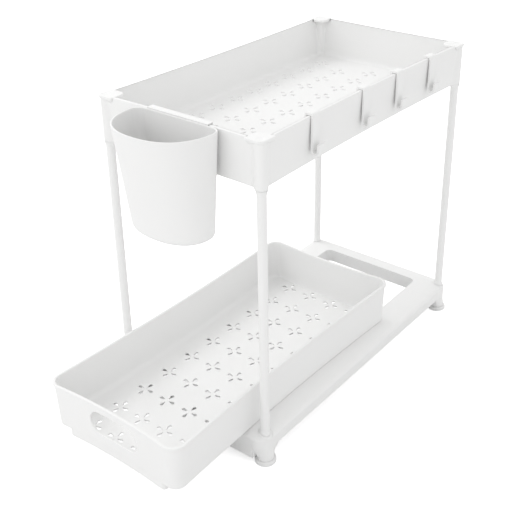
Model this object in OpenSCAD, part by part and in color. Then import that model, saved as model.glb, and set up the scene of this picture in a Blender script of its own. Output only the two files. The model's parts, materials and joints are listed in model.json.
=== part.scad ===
// Two-tier under sink organizer: a perforated top tray on four posts, a base frame on round
// feet, a sliding drawer on the frame's rails, a cup and four hooks that hang on the tray's rim.
// Millimetres, +Z up. The origin is on the floor at the middle of the base frame.
// +X is the long side that carries the hooks, and the drawer pulls out towards -Y.

/* [Overall] */
// Length of the top tray over its rim, front to back
tray_length = 394; // [334:2:454]
// Width of the top tray over its rim
tray_width = 214; // [200:1:236]
// Height of the tray's rim above the floor
rim_height = 378; // [300:2:440]

/* [Top tray] */
// Depth of the top tray from rim to underside
tray_depth = 52; // [40:1:70]
// Wall thickness of the tray at the rim
tray_wall = 2.4; // [1.8:0.1:3.2]
// Thickness of the tray's floor
tray_floor = 2.2; // [1.8:0.1:3.2]
// Slope of the tray's walls, outward for each unit of height
tray_draft = 0.072; // [0.03:0.002:0.1]
// Corner radius of the tray in plan
tray_corner_r = 6; // [5:0.5:10]
// How far the long walls curve in at mid length
side_bow = 3.5; // [0.5:0.5:6]
// How far the short walls curve in at mid width
end_bow = 2; // [0.5:0.5:4]
// Outside radius of the round column in each tray corner
column_r = 6.2; // [6:0.1:7]
// How far the columns reach down below the tray
column_drop = 4; // [2:0.5:8]
// Radius of the tray's lower outside edge
tray_edge_r = 2; // [1:0.5:4]
// Radius between the tray's floor and its walls
tray_fillet_r = 3; // [1:0.5:6]

/* [Corner caps] */
// Length of a cap along each side of its corner
cap_leg = 23; // [20:1:30]
// Thickness of a cap's plate
cap_thick = 3; // [2:0.2:5]
// How far a cap stands out past the tray's rim
cap_overhang = 1.8; // [1.6:0.1:3]
// Corner radius of a cap
cap_corner_r = 3.5; // [2:0.5:5]

/* [Perforation] */
// Spacing of the cross patterns across the tray
cross_pitch_x = 37.5; // [30:0.5:44]
// Spacing of the cross patterns along the tray
cross_pitch_y = 34.7; // [30:0.1:44]
// Spacing of the cross patterns across the drawer
drawer_pitch_x = 33.8; // [30:0.1:44]
// Spacing of the cross patterns along the drawer
drawer_pitch_y = 39; // [30:0.5:44]
// Distance from a pattern's centre to the outer end of a petal
petal_reach = 10.5; // [8:0.5:12]
// Length of one petal hole
petal_length = 7.5; // [5:0.5:8]
// Width of one petal hole at its round end
petal_width = 4; // [2.5:0.5:5]

/* [Posts] */
// Outside diameter of the posts
post_d = 10; // [8:0.2:11]
// Wall thickness of the post tubes
post_wall = 1.2; // [0.8:0.1:2]
// Distance of the post axes inside the tray's rim
post_inset = 4.8; // [4.6:0.1:6]
// Diameter of the ferrule at the foot of a post
ferrule_d = 11.6; // [11.2:0.2:13]
// Height of the ferrule
ferrule_h = 7; // [4:0.5:12]

/* [Base frame] */
// How far the base frame stands out past the tray's rim at each end
base_end_reach = 9; // [6:0.5:14]
// How far it stands out past the tray's rim on each side
base_side_reach = 3; // [2:0.5:8]
// Height of the flat rail above the floor
rail_height = 39; // [36:0.5:50]
// Width of each side rail, from its outer side to the opening
rail_width = 37; // [32:0.5:44]
// Width of the back bar, from its outer side to the opening
back_bar_width = 26; // [22:0.5:34]
// Width of the dropped front bar
front_bar_width = 20; // [16:0.5:26]
// Height of the base frame's skirt
skirt_height = 12; // [10:0.5:14]
// How far the frame's top falls from the flat rail to its outer edge
shoulder_drop = 6; // [4:0.5:8]
// Width of the rounded shoulder outside the flat rail
shoulder_width = 15; // [10:0.5:18]
// Wall thickness of the base frame
base_wall = 2.4; // [1.8:0.1:3.2]
// Corner radius of the base frame in plan
base_corner_r = 15; // [12:0.5:20]
// Number of cross ribs under each side rail
rib_count = 5; // [3:1:9]
// Thickness of a rib
rib_thick = 1.8; // [1.4:0.1:2.4]

/* [Feet] */
// Diameter of a foot disc
foot_d = 24; // [18:0.5:28]
// Thickness of a foot disc
foot_thick = 5; // [4:0.5:8]
// Diameter of the leg above a foot
leg_d = 14; // [13.6:0.2:17]
// Diameter of the spigot that holds a foot
spigot_d = 6; // [4:0.5:7]
// Length of that spigot
spigot_length = 7; // [5:0.5:8]

/* [Drawer] */
// How much shorter the drawer is than the base frame
drawer_short = 16; // [6:1:60]
// Gap between the drawer's rim and the ferrules of the posts
drawer_side_gap = 2.9; // [1.5:0.1:6]
// Height of the drawer from its runners to its rim
drawer_height = 55; // [45:1:75]
// How far the drawer stands out of the frame in the drawn pose
drawer_out = 112; // [90:2:140]
// Wall thickness of the drawer
drawer_wall = 2.2; // [1.8:0.1:3]
// Slope of the drawer's walls
drawer_draft = 0.04; // [0.01:0.005:0.06]
// How far the drawer's long walls curve in at mid length
drawer_side_bow = 4.5; // [0.5:0.5:6]
// How far its front and back walls curve in at mid width
drawer_end_bow = 4; // [0.5:0.5:6]
// Corner radius of the drawer in plan
drawer_corner_r = 14; // [11:0.5:20]
// Radius of the lower edge of the drawer's guides
drawer_edge_r = 1.2; // [0.5:0.1:1.6]
// Radius between the drawer's floor and its walls
drawer_fillet_r = 4; // [2:0.5:8]
// Width of the rolled rim outside the drawer's wall
drawer_lip = 1.5; // [1:0.1:2.5]
// Height of the rolled rim
drawer_lip_h = 3.5; // [2:0.5:6]
// Depth of the guides and front lip that drop between the frame's rails
guide_depth = 9; // [7:0.5:10]
// Length of the handle hole
handle_length = 69; // [55:1:85]
// Height of the handle hole
handle_height = 29.5; // [20:0.5:32]
// Height of the bar above the handle hole
handle_bar = 11; // [8:0.5:13]

/* [Hanging cup] */
// Width of the cup at its rim
cup_width = 115; // [90:1:124]
// Depth of the cup at its rim, out from the tray
cup_depth = 65; // [50:1:76]
// Height of the cup
cup_height = 117; // [90:1:130]
// Place of the cup's middle along the front wall
cup_x = 4; // [-12:1:12]
// Wall thickness of the cup
cup_wall = 2; // [1.5:0.1:2.6]
// How much further in each side of the cup is at its bottom
cup_taper = 10; // [2:0.5:14]
// How much shallower the cup is at the bottom
cup_front_taper = 17; // [4:0.5:22]
// Radius of the cup's two back corners in plan
cup_back_r = 12; // [6:0.5:16]
// Radius of the cup's bottom edge
cup_edge_r = 8; // [5:0.5:12]
// Width of the flange that hangs on the tray's rim
flange_width = 86; // [60:1:90]
// How far that flange reaches down inside the tray
flange_drop = 8; // [5:0.5:12]

/* [Hooks] */
// Places of the hooks along the tray, from its middle
hook_places = [-112, -18, 50, 121];
// Width of a hook's strap
hook_width = 12.5; // [10:0.5:16]
// Thickness of a hook's strap
hook_thick = 2.5; // [2:0.1:2.8]
// Reach of a hook from the rim down to its lowest point
hook_drop = 41; // [32:1:48]
// Outside radius of the hook's J bend
hook_bend_r = 4.9; // [4.9:0.1:6]
// Height of the hook's upturned tip above the bend's centre
hook_tip = 7.5; // [4:0.5:12]
// How far the hook's nose reaches down inside the tray
hook_nose = 3; // [2:0.5:5]

/* [Clearances] */
// Running gap between parts that slide or hang
run_gap = 0.3; // [0.2:0.05:0.5]
// Gap round a post in its sockets
socket_gap = 0.1; // [0.05:0.05:0.2]
// Side gap between the drawer's guides and the frame's opening
guide_gap = 2.5; // [1.5:0.5:4]
// Gap between the drawer's front lip and the frame's front bar
bar_gap = 1.5; // [1:0.5:3]

/* [Hidden] */
$fn = 48;

// Steps in a rounded corner, along a bowed wall and round an edge
corner_steps = 8;
bow_steps = 10;
edge_steps = 3;
// How far a cutting shape runs past the face it cuts
past = 1;

half_l = tray_length / 2;
half_w = tray_width / 2;
post_x = half_w - post_inset;
post_y = half_l - post_inset;
tray_z = rim_height - tray_depth;
cap_z = rim_height - cap_thick;

base_half_l = half_l + base_end_reach;
base_half_w = half_w + base_side_reach;
open_half_w = base_half_w - rail_width;
open_back = base_half_l - back_bar_width;
open_front = base_half_l - front_bar_width;
edge_z = rail_height - shoulder_drop;
skirt_z = edge_z - skirt_height;
// Flat seats, sunk into the shoulder, on which the ferrules stand
seat_z = edge_z + 0.5;
seat_margin = 2;
// Sockets in the frame for the posts
socket_depth = 17;
socket_wall = 3;
// Flare that joins each leg to the frame
leg_flare_r = 9;
leg_flare_z = skirt_z + 1;
flare_steps = 4;
// Rounding of the opening's corners in plan
opening_corner_r = 8;

runner_z = rail_height + run_gap;
guide_z = runner_z - guide_depth;
guide_half_w = open_half_w - guide_gap;
front_bar_top = guide_z - bar_gap;
front_bar_clear = 3;
front_bar_z = foot_thick + front_bar_clear;
drawer_length = 2 * base_half_l - drawer_short;
drawer_width = 2 * (post_x - ferrule_d / 2 - drawer_side_gap);
drawer_half_w = drawer_width / 2 - drawer_lip;
drawer_half_l = drawer_length / 2 - drawer_lip;
drawer_y = drawer_length / 2 - base_half_l - drawer_lip - drawer_out;
// End of the guides, seen from the drawer's middle
guide_back = open_back - guide_gap - drawer_y - drawer_out;
drawer_full = drawer_height + guide_depth;

cup_half_w = cup_width / 2;
// How far the tray's front wall curves in where the cup's flat back ends
cup_wall_bow = bow_at((abs(cup_x) + cup_half_w - cup_back_r) / (half_w - tray_corner_r), end_bow);

white = [0.95, 0.95, 0.94];
foot_white = [0.88, 0.88, 0.87];

// Plan outlines

// A rounded rectangle whose sides curve in: hw and hl are half the width and the length.
function arc_points(cx, cy, r, from) =
    [for (i = [0:corner_steps]) let (a = from + 90 * i / corner_steps) [cx + r * cos(a), cy + r * sin(a)]];
function bow_at(t, depth) = depth * (1 - t * t);
function run_points(hw, hl, r, bx, by, quarter) =
    bx + by == 0 ? [] : [for (i = [1:bow_steps - 1]) let (t = 2 * i / bow_steps - 1)
        quarter == 0 ? [hw - bow_at(t, bx), t * (hl - r)]
        : quarter == 1 ? [-t * (hw - r), hl - bow_at(t, by)]
        : quarter == 2 ? [-hw + bow_at(t, bx), -t * (hl - r)]
        : [t * (hw - r), -hl + bow_at(t, by)]];
function outline(hw, hl, r, bx = 0, by = 0) = concat(
    run_points(hw, hl, r, bx, by, 0), arc_points(hw - r, hl - r, r, 0),
    run_points(hw, hl, r, bx, by, 1), arc_points(r - hw, hl - r, r, 90),
    run_points(hw, hl, r, bx, by, 2), arc_points(r - hw, r - hl, r, 180),
    run_points(hw, hl, r, bx, by, 3), arc_points(hw - r, r - hl, r, 270));

// The cup's outline: flat at the back on y = 0 between two round corners, and bulging to -Y.
cup_power = 2.3;
cup_points = 40;
function power(v) = sign(v) * pow(abs(v), 2 / cup_power);
function cup_outline(hw, depth, r) = concat(
    [for (i = [0:cup_points]) let (a = 180 + 180 * i / cup_points)
        [hw * power(cos(a)), (depth - r) * power(sin(a)) - r]],
    [for (i = [1:corner_steps]) let (a = 90 * i / corner_steps) [hw - r + r * cos(a), r * sin(a) - r]],
    [for (i = [0:corner_steps - 1]) let (a = 90 + 90 * i / corner_steps)
        [r - hw + r * cos(a), r * sin(a) - r]]);

// A solid through rings of points, one ring for each level.
function at_level(points, z) = [for (p = points) [p[0], p[1], z]];
module loft(rings) {
    n = len(rings[0]);
    last = len(rings) - 1;
    sides = [for (k = [0:last - 1], i = [0:n - 1]) let (j = (i + 1) % n)
        each [[k * n + i, (k + 1) * n + i, (k + 1) * n + j], [k * n + i, (k + 1) * n + j, k * n + j]]];
    bottom = [for (i = [0:n - 1]) i];
    top = [for (i = [n - 1:-1:0]) last * n + i];
    polyhedron(points = [for (ring = rings) each ring], faces = concat([bottom, top], sides));
}

// A tray-like body: drafted, bowed walls and a rounded lower edge, full size at its top.
// lip and lip_h give it a thicker band round the top.
module tray_body(hw, hl, r, height, draft, edge, bx, by, inset = 0, from = 0, lip = 0, lip_h = 0) {
    function grow(z) = inset + draft * (height - z);
    size = 2 * (hw + hl);
    top = inset > 0 ? height + past : height;
    bead = lip > 0 ? [[height - lip_h, 0], [height - lip_h, -lip]] : [];
    levels = concat(
        [[from - past, edge]],
        [for (i = [0:edge_steps]) let (a = 90 * i / edge_steps)
            [from + edge * (1 - cos(a)), edge * (1 - sin(a))]],
        bead, [[top + past, -lip]]);
    intersection() {
        loft([for (level = levels) let (g = grow(level[0]) + level[1])
            at_level(outline(hw - g, hl - g, max(r - g, 2), bx, by), level[0])]);
        translate([-size / 2, -size / 2, from]) cube([size, size, top - from]);
    }
}

// Perforation

module petal() {
    round_x = petal_reach - petal_width / 2;
    tip_x = petal_reach - petal_length;
    translate([round_x, 0]) circle(d = petal_width, $fn = 24);
    polygon([[tip_x, 0], [round_x, -petal_width / 2], [round_x, petal_width / 2]]);
}

module petal_cross() {
    for (a = [0:90:270]) rotate(a) petal();
}

// Crosses that fit whole inside a field of half sizes fw and fl.
module cross_field(fw, fl, pitch_x, pitch_y, staggered, odd_columns) {
    shift = odd_columns ? 0 : 0.5;
    columns = floor((fw - petal_reach) / pitch_x - shift);
    rows = ceil(fl / pitch_y);
    for (c = [-columns - (odd_columns ? 0 : 1):columns], row = [-rows:rows]) {
        half_step = (staggered && c % 2 != 0) ? 0 : 0.5;
        place = [(c + shift) * pitch_x, (row + half_step) * pitch_y];
        if (abs(place[1]) + petal_reach <= fl) translate(place) petal_cross();
    }
}

// Base frame

// The frame's outer form: a skirt, a shoulder that rounds over, and the flat rail inside it.
module base_dome(inset) {
    hw = base_half_w - inset;
    hl = base_half_l - inset;
    r = base_corner_r;
    low = inset > 0 ? skirt_z - past : skirt_z;
    edge = edge_z - inset;
    // Each step in the shoulder: its share of the shoulder's width and of its height
    shoulder = [[0, 0], [0.04, 0.22], [0.12, 0.42], [0.27, 0.62], [0.5, 0.8], [0.75, 0.93], [1, 1]];
    loft(concat([at_level(outline(hw, hl, r), low)],
        [for (step = shoulder) let (g = step[0] * shoulder_width)
            at_level(outline(hw - g, hl - g, max(r - g, 5)), edge + step[1] * shoulder_drop)]));
}

module opening_plan(grow) {
    y_from = -open_front - grow;
    y_to = open_back + grow;
    translate([0, (y_from + y_to) / 2])
        polygon(outline(open_half_w + grow, (y_to - y_from) / 2, opening_corner_r));
}

module leg_flare() {
    top_r = leg_d / 2 + leg_flare_r;
    arc = [for (i = [0:flare_steps]) let (a = 90 * i / flare_steps)
        [top_r - leg_flare_r * cos(a), leg_flare_z - leg_flare_r * (1 - sin(a))]];
    rotate_extrude($fn = 64)
        polygon(concat([[0, foot_thick], [leg_d / 2, foot_thick]], arc, [[0, leg_flare_z]]));
}

module at_corners() {
    for (sx = [-1, 1], sy = [-1, 1]) translate([sx * post_x, sy * post_y, 0]) children();
}

module rail_ribs() {
    span = open_back + open_front;
    rib_z = skirt_z + 1;
    for (i = [1:rib_count], sx = [-1, 1]) {
        y = -open_front + span * i / (rib_count + 1);
        x = sx * (open_half_w + rail_width / 2);
        translate([x - rail_width / 2, y - rib_thick / 2, rib_z]) cube([rail_width, rib_thick, rail_height]);
    }
}

module front_bar() {
    length = 2 * (base_half_w - base_corner_r);
    height = front_bar_top - front_bar_z;
    difference() {
        translate([-length / 2, -base_half_l, front_bar_z]) cube([length, front_bar_width, height]);
        translate([base_wall - length / 2, base_wall - base_half_l, front_bar_z - past])
            cube([length - 2 * base_wall, front_bar_width - 2 * base_wall, height - base_wall + past]);
    }
}

module base_frame() {
    color(white) difference() {
        union() {
            difference() {
                base_dome(0);
                base_dome(base_wall);
            }
            intersection() {
                base_dome(0);
                union() {
                    translate([0, 0, skirt_z]) linear_extrude(rail_height - skirt_z) difference() {
                        opening_plan(base_wall);
                        opening_plan(0);
                    }
                    rail_ribs();
                    at_corners() cylinder(r = post_d / 2 + socket_wall, h = rail_height);
                }
            }
            intersection() {
                linear_extrude(rail_height) polygon(outline(base_half_w, base_half_l, base_corner_r));
                at_corners() leg_flare();
            }
            front_bar();
        }
        translate([0, 0, front_bar_top]) linear_extrude(rail_height) opening_plan(0);
        translate([0, 0, -past]) linear_extrude(rail_height) intersection() {
            opening_plan(0);
            translate([-base_half_w, -open_front]) square(2 * [base_half_w, base_half_l]);
        }
        translate([-open_half_w, -base_half_l - past, front_bar_top])
            cube([2 * open_half_w, base_half_l, rail_height]);
        at_corners() {
            translate([0, 0, seat_z]) cylinder(d = ferrule_d + 2 * seat_margin, h = rail_height);
            translate([0, 0, seat_z - socket_depth]) cylinder(d = post_d + 2 * socket_gap, h = rail_height);
            translate([0, 0, foot_thick - past])
                cylinder(d = spigot_d + 2 * socket_gap, h = spigot_length + past);
        }
    }
}

// Feet and posts

module foot(sx, sy) {
    edge = 0.7;
    dish = 1.4;
    rim_w = 1.6;
    r = foot_d / 2;
    color(foot_white) translate([sx * post_x, sy * post_y, 0]) {
        rotate_extrude($fn = 64) polygon([
            [0, 0], [r - edge, 0], [r, edge], [r, foot_thick - edge], [r - edge, foot_thick],
            [r - rim_w, foot_thick], [r - rim_w - 0.5, foot_thick - dish],
            [leg_d / 2 + 0.5, foot_thick - dish], [leg_d / 2, foot_thick], [0, foot_thick]]);
        translate([0, 0, foot_thick - 0.5]) cylinder(d = spigot_d, h = spigot_length);
    }
}

module post(sx, sy) {
    low = seat_z - socket_depth + run_gap;
    edge = 1;
    color(white) translate([sx * post_x, sy * post_y, 0]) difference() {
        union() {
            translate([0, 0, low]) cylinder(d = post_d, h = cap_z - run_gap - low);
            translate([0, 0, seat_z]) cylinder(d = ferrule_d, h = ferrule_h - edge);
            translate([0, 0, seat_z + ferrule_h - edge]) cylinder(d1 = ferrule_d, d2 = post_d, h = edge);
        }
        translate([0, 0, low - past]) cylinder(d = post_d - 2 * post_wall, h = cap_z);
    }
}

// Top tray and its caps

// The plate that closes a corner, drawn with the tray's sharp corner at the origin.
// over is how far it stands out past that corner, and gap widens it all round.
module corner_plate(over, gap) {
    edge = over + gap;
    end = over - cap_leg - gap * (1 + sqrt(2));
    centre = over - cap_corner_r;
    translate([centre, centre]) circle(r = cap_corner_r + gap, $fn = 64);
    polygon([[end, edge], [centre, edge], [centre, centre], [edge, centre], [edge, end]]);
}

module at_rim_corner(sx, sy) {
    translate([sx * half_w, sy * half_l, 0]) scale_to(sx, sy) children();
}

module scale_to(sx, sy) {
    if (sx > 0 && sy > 0) children();
    else if (sx < 0 && sy > 0) mirror([1, 0, 0]) children();
    else if (sx > 0) mirror([0, 1, 0]) children();
    else rotate(180) children();
}

module corner_cap(sx, sy) {
    dimple_d = 9;
    dimple_depth = 0.8;
    plug_length = 9;
    color(white) {
        difference() {
            translate([0, 0, cap_z]) linear_extrude(cap_thick) at_rim_corner(sx, sy)
                corner_plate(cap_overhang, 0);
            translate([sx * post_x, sy * post_y, rim_height - dimple_depth])
                cylinder(d = dimple_d, h = past + dimple_depth);
        }
        translate([sx * post_x, sy * post_y, cap_z - plug_length])
            cylinder(d = post_d - 2 * post_wall - 2 * socket_gap, h = plug_length + 0.5);
    }
}

module top_tray() {
    margin = 14;
    column_z = tray_z - column_drop;
    color(white) difference() {
        union() {
            difference() {
                translate([0, 0, tray_z]) tray_body(
                    half_w, half_l, tray_corner_r, tray_depth, tray_draft, tray_edge_r, side_bow, end_bow);
                translate([0, 0, tray_z]) tray_body(half_w, half_l, tray_corner_r, tray_depth, tray_draft,
                    tray_fillet_r, side_bow, end_bow, tray_wall, tray_floor);
                translate([0, 0, tray_z - past]) linear_extrude(tray_floor + 2 * past)
                    cross_field(half_w - margin, half_l - margin, cross_pitch_x, cross_pitch_y, true, true);
            }
            at_corners() translate([0, 0, column_z]) cylinder(r = column_r, h = cap_z - column_z);
        }
        at_corners() translate([0, 0, column_z - past])
            cylinder(d = post_d + 2 * socket_gap, h = rim_height - column_z + 2 * past);
        for (sx = [-1, 1], sy = [-1, 1]) translate([0, 0, cap_z]) linear_extrude(cap_thick + past)
            at_rim_corner(sx, sy) corner_plate(cap_overhang, socket_gap);
    }
}

// Drawer

module handle_plan() {
    r = handle_height / 2;
    translate([-handle_length / 2 + r, 0]) circle(r = r, $fn = 64);
    translate([handle_length / 2 - r, 0]) circle(r = r, $fn = 64);
    translate([-handle_length / 2 + r, -r]) square([handle_length - 2 * r, handle_height]);
}

// The space beside and behind the drawer's guides, up to the runners.
module beside_guides() {
    translate([0, 0, -past]) linear_extrude(guide_depth + past) difference() {
        translate([-drawer_width, -drawer_length]) square(2 * [drawer_width, drawer_length]);
        translate([-guide_half_w, -drawer_length - past])
            square([2 * guide_half_w, drawer_length + past + guide_back]);
    }
}

// The space between the guides, below the drawer's floor and behind its front lip.
module between_guides() {
    hw = guide_half_w - drawer_wall;
    intersection() {
        drawer_inside(-2 * past, past);
        translate([-hw, -drawer_length, -past]) cube([2 * hw, 2 * drawer_length, guide_depth + past]);
    }
}

// The drawer's inner form from the given height up, with the given radius at its foot.
module drawer_inside(from, edge) {
    tray_body(drawer_half_w, drawer_half_l, drawer_corner_r, drawer_full, drawer_draft,
        edge, drawer_side_bow, drawer_end_bow, drawer_wall, from);
}

module drawer() {
    margin = 8;
    color(white) translate([0, drawer_y, guide_z]) difference() {
        tray_body(drawer_half_w, drawer_half_l, drawer_corner_r, drawer_full, drawer_draft,
            drawer_edge_r, drawer_side_bow, drawer_end_bow, 0, 0, drawer_lip, drawer_lip_h);
        beside_guides();
        between_guides();
        drawer_inside(guide_depth + drawer_wall, drawer_fillet_r);
        translate([0, 0, guide_depth - past]) linear_extrude(drawer_wall + 2 * past) cross_field(
            guide_half_w - drawer_wall, drawer_half_l - margin, drawer_pitch_x, drawer_pitch_y, false, false);
        translate([0, 0, drawer_full - handle_bar - handle_height / 2]) rotate([90, 0, 0])
            linear_extrude(drawer_half_l + past) handle_plan();
    }
}

// Hanging cup

// The cup's form, in from the outside by inset, with its foot at the height from.
module cup_body(inset, from) {
    edge = cup_edge_r - inset;
    function share(z) = (cup_height - z) / cup_height;
    levels = concat([for (i = [0:edge_steps]) let (a = 90 * i / edge_steps)
        [from + edge * (1 - cos(a)), edge * (1 - sin(a))]], [[cup_height + past, 0]]);
    loft([for (level = levels) let (z = level[0], g = inset + level[1])
        [for (p = cup_outline(cup_half_w - cup_taper * share(z) - g,
            cup_depth - cup_front_taper * share(z) - 2 * g, max(cup_back_r - g, 3))) [p[0], p[1] - g, z]]]);
}

module cup_flange() {
    root = 2;
    // The rim's inner face leans in below it, so the flange stands off by that much more.
    reach = tray_wall + end_bow - cup_wall_bow + tray_draft * flange_drop + 2 * run_gap;
    profile = [
        [-cup_wall, -root], [-cup_wall, run_gap + cup_wall], [reach + cup_wall, run_gap + cup_wall],
        [reach + cup_wall, -flange_drop], [reach, -flange_drop], [reach, run_gap], [0, run_gap], [0, -root]];
    translate([-flange_width / 2, 0, cup_height]) rotate([90, 0, 90])
        linear_extrude(flange_width) polygon(profile);
}

module hanging_cup() {
    size = 2 * cup_width;
    color(white) translate([cup_x, cup_wall_bow - half_l - run_gap, rim_height - cup_height]) {
        difference() {
            cup_body(0, 0);
            cup_body(cup_wall, cup_wall);
            translate([-size / 2, -size / 2, cup_height]) cube([size, size, 2 * past]);
        }
        cup_flange();
    }
}

// Hooks

// Side view of a hook: x is out from the rim's outer face, y is up from the rim.
module hook_plan() {
    // The slot is wide enough for the rim's curve and its lean.
    slack = 2.4;
    slot = tray_wall + 2 * run_gap + slack;
    strap_x = run_gap;
    nose_x = strap_x - slot - hook_thick;
    bend_y = hook_bend_r - hook_drop;
    round_r = 1.6;
    translate([strap_x, bend_y]) square([hook_thick, run_gap - bend_y]);
    translate([nose_x, -hook_nose]) square([hook_thick, run_gap + hook_nose]);
    translate([nose_x, run_gap]) square([strap_x + hook_thick - nose_x, hook_thick - round_r]);
    translate([nose_x + round_r, run_gap]) square([strap_x + hook_thick - nose_x - 2 * round_r, hook_thick]);
    for (x = [nose_x + round_r, strap_x + hook_thick - round_r])
        translate([x, run_gap + hook_thick - round_r]) circle(r = round_r, $fn = 32);
    translate([strap_x + hook_bend_r, bend_y]) {
        difference() {
            circle(r = hook_bend_r, $fn = 64);
            circle(r = hook_bend_r - hook_thick, $fn = 64);
            translate([-2 * hook_bend_r, 0]) square(4 * hook_bend_r);
        }
        translate([hook_bend_r - hook_thick, 0]) square([hook_thick, hook_tip - hook_thick / 2]);
        translate([hook_bend_r - hook_thick / 2, hook_tip - hook_thick / 2]) circle(d = hook_thick, $fn = 32);
    }
}

module hook(i) {
    y = hook_places[i];
    // The wall curves, so the strap is set off from the end that stands out more.
    rim_x = half_w - bow_at((abs(y) + hook_width / 2) / (half_l - tray_corner_r), side_bow);
    color(white) translate([rim_x, y + hook_width / 2, rim_height]) rotate([90, 0, 0])
        linear_extrude(hook_width) hook_plan();
}

base_frame();
foot(-1, -1);  // foot_front_left
foot(1, -1);  // foot_front_right
foot(-1, 1);  // foot_back_left
foot(1, 1);  // foot_back_right
post(-1, -1);  // post_front_left
post(1, -1);  // post_front_right
post(-1, 1);  // post_back_left
post(1, 1);  // post_back_right
top_tray();
corner_cap(-1, -1);  // corner_cap_front_left
corner_cap(1, -1);  // corner_cap_front_right
corner_cap(-1, 1);  // corner_cap_back_left
corner_cap(1, 1);  // corner_cap_back_right
drawer();
hanging_cup();
hook(0);  // hook_1
hook(1);  // hook_2
hook(2);  // hook_3
hook(3);  // hook_4
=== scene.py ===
"""Looks of the under sink organizer: smooth pieces, plastics, floor, light and camera.

The pieces are laid out in millimetres, with part.scad's sizes and places, and turned into
Blender's metres when they are built. All but the legs stand for CAD nodes; the base frame and
the posts are the CAD nodes themselves.
"""

import json
import math

import bmesh
import bpy
from mathutils import Matrix, Vector, geometry


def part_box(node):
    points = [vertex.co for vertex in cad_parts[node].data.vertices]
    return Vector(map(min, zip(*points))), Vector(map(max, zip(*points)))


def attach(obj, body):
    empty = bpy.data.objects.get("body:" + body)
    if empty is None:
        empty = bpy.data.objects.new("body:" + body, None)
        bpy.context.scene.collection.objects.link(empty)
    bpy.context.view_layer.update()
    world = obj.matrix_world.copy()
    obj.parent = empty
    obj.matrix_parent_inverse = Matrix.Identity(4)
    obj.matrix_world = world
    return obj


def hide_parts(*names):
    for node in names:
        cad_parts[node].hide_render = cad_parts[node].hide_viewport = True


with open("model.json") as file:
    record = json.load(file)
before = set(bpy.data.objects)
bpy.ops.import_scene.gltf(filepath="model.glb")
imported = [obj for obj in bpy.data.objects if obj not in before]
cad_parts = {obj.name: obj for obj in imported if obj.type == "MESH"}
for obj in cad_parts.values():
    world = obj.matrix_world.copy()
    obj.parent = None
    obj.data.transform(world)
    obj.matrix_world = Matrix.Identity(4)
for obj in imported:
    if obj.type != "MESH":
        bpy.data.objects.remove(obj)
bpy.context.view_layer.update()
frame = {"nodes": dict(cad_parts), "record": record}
scene = bpy.context.scene

MM = 0.001


# Camera: seen from the front right and above, with a small shift as in the photograph.

IMAGE_SIZE = 512                              # this, the focal length and the shift in pixels
FOCAL_LENGTH = 905.36
CAMERA_SHIFT = (-34, -56)
SENSOR_WIDTH = 36
CAMERA_PLACE = (0.5824, -0.7877, 0.6896)
AZIMUTH, ELEVATION = math.radians(36.89), math.radians(26.04)


def make_camera():
    data = bpy.data.cameras.new("camera")
    data.sensor_width = SENSOR_WIDTH
    data.lens = FOCAL_LENGTH * SENSOR_WIDTH / IMAGE_SIZE
    data.shift_x, data.shift_y = [shift / IMAGE_SIZE for shift in CAMERA_SHIFT]
    data.clip_end = 50
    camera = bpy.data.objects.new("camera", data)
    scene.collection.objects.link(camera)
    level = math.cos(ELEVATION)
    back = Vector((math.sin(AZIMUTH) * level, -math.cos(AZIMUTH) * level, math.sin(ELEVATION)))
    right = Vector((math.cos(AZIMUTH), math.sin(AZIMUTH), 0))
    axes = Matrix((right, back.cross(right), back)).transposed().to_4x4()
    camera.matrix_world = Matrix.Translation(CAMERA_PLACE) @ axes
    scene.camera = camera


make_camera()


# Materials

PLASTIC_IOR, PLASTIC_SPECULAR = 1.49, 0.4
TONE_SCALE, TONE_SPREAD = 14, 0.012
ROUGHNESS_SPREAD = 0.05
GRAIN_SCALE, GRAIN_HEIGHT = 900, 0.2 * MM
SOFT_EDGE = 0.6 * MM


def node_material(name):
    material = bpy.data.materials.new(name)
    material.use_nodes = True
    nodes = material.node_tree.nodes
    nodes.clear()
    return material, nodes, material.node_tree.links


def plastic(name, colour, roughness, grain):
    """Moulded plastic: a slow, faint change of tone and gloss, a fine grain and soft edges."""
    material, nodes, links = node_material(name)
    coord = nodes.new("ShaderNodeTexCoord")

    def noise(scale, detail):
        node = nodes.new("ShaderNodeTexNoise")
        node.inputs["Scale"].default_value = scale
        node.inputs["Detail"].default_value = detail
        links.new(coord.outputs["Object"], node.inputs["Vector"])
        return node.outputs["Fac"]

    def spread(source, centre, reach):
        node = nodes.new("ShaderNodeMapRange")
        node.inputs["To Min"].default_value = centre - reach
        node.inputs["To Max"].default_value = centre + reach
        links.new(source, node.inputs["Value"])
        return node.outputs["Result"]

    slow = noise(TONE_SCALE, 3)
    tinted = nodes.new("ShaderNodeMix")
    tinted.data_type = "RGBA"
    tinted.blend_type = "MULTIPLY"
    tinted.inputs["Factor"].default_value = 1
    tinted.inputs["A"].default_value = (*colour, 1)
    links.new(spread(slow, 1, TONE_SPREAD), tinted.inputs["B"])

    soft = nodes.new("ShaderNodeBevel")
    soft.samples = 4
    soft.inputs["Radius"].default_value = SOFT_EDGE
    bump = nodes.new("ShaderNodeBump")
    bump.inputs["Strength"].default_value = grain
    bump.inputs["Distance"].default_value = GRAIN_HEIGHT
    links.new(noise(GRAIN_SCALE, 2), bump.inputs["Height"])
    links.new(soft.outputs["Normal"], bump.inputs["Normal"])

    shader = nodes.new("ShaderNodeBsdfPrincipled")
    shader.inputs["IOR"].default_value = PLASTIC_IOR
    shader.inputs["Specular IOR Level"].default_value = PLASTIC_SPECULAR
    links.new(tinted.outputs["Result"], shader.inputs["Base Color"])
    links.new(spread(slow, roughness, ROUGHNESS_SPREAD), shader.inputs["Roughness"])
    links.new(bump.outputs["Normal"], shader.inputs["Normal"])
    links.new(shader.outputs[0], nodes.new("ShaderNodeOutputMaterial").inputs[0])
    return material


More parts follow.
